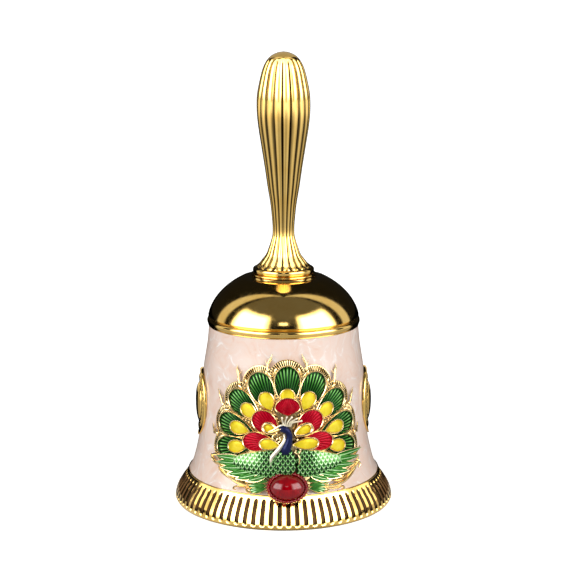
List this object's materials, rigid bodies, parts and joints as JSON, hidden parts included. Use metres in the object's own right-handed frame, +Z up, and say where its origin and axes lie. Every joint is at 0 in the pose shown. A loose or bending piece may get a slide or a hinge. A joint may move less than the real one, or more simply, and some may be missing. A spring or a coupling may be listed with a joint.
{
  "type": "hand bell",
  "caption": "Metal hand bell with a pink enamelled waist, a coloured peacock ornament, a ribbed handle and a hanging clapper.",
  "frame": {"origin": "centre of the lip's flat rim, the plane the bell stands on", "axes": "+Z up along the bell's axis to the handle; -Y is the side the peacock faces; +X is to the right when the peacock is looked at"},
  "size_m": [0.06, 0.06, 0.1224],
  "materials": {
    "gold_plate": "polished gold plate over a zinc casting",
    "plated_steel": "plated wire and small fasteners",
    "pink_enamel": "glossy pearl enamel",
    "green_enamel": "glossy translucent enamel",
    "yellow_enamel": "glossy opaque enamel",
    "red_enamel": "glossy translucent enamel",
    "navy_enamel": "glossy enamel",
    "ruby_stone": "polished red stone"
  },
  "bodies": {
    "bell": {"bell_shell": "gold_plate", "breast_enamel": "green_enamel", "crown_nut": "plated_steel", "crown_washer": "plated_steel", "eye_bolt": "plated_steel", "feather_eye_1": "yellow_enamel", "feather_eye_2": "yellow_enamel", "feather_eye_3": "yellow_enamel", "feather_eye_4": "yellow_enamel", "feather_eye_5": "yellow_enamel", "feather_eye_6": "yellow_enamel", "feather_eye_7": "yellow_enamel", "feather_eye_8": "yellow_enamel", "feather_eye_9": "yellow_enamel", "feather_green_1": "green_enamel", "feather_green_2": "green_enamel", "feather_green_3": "green_enamel", "feather_green_4": "green_enamel", "feather_green_5": "green_enamel", "feather_green_6": "green_enamel", "feather_green_7": "green_enamel", "feather_green_8": "green_enamel", "feather_green_9": "green_enamel", "feather_red_1": "red_enamel", "feather_red_2": "red_enamel", "feather_red_3": "red_enamel", "feather_red_4": "red_enamel", "feather_red_5": "red_enamel", "handle": "gold_plate", "handle_collar": "gold_plate", "inner_eye_1": "yellow_enamel", "inner_eye_2": "yellow_enamel", "inner_eye_4": "yellow_enamel", "inner_eye_5": "yellow_enamel", "leaf_left": "green_enamel", "leaf_right": "green_enamel", "neck_enamel": "navy_enamel", "peacock_plate": "gold_plate", "ruby_cabochon": "ruby_stone", "ruby_cup": "ruby_stone", "side_boss_left": "gold_plate", "side_boss_right": "gold_plate", "waist_enamel": "pink_enamel", "wing_left": "green_enamel", "wing_right": "green_enamel"},
    "ring": {"hanger_ring": "plated_steel"},
    "clapper": {"clapper_rod": "plated_steel", "clapper_ball": "gold_plate", "clapper_end_nut": "gold_plate"}
  },
  "joints": [
    {"name": "ring_swing", "type": "hinge", "parent": "bell", "child": "ring", "pos_m": [0, 0, 0.0516], "axis": [1, 0, 0], "range_deg": [-17, 17]},
    {"name": "clapper_swing", "type": "hinge", "parent": "ring", "child": "clapper", "pos_m": [0, 0, 0.04795], "axis": [0, 1, 0], "range_deg": [-18.5, 18.5]}
  ]
}
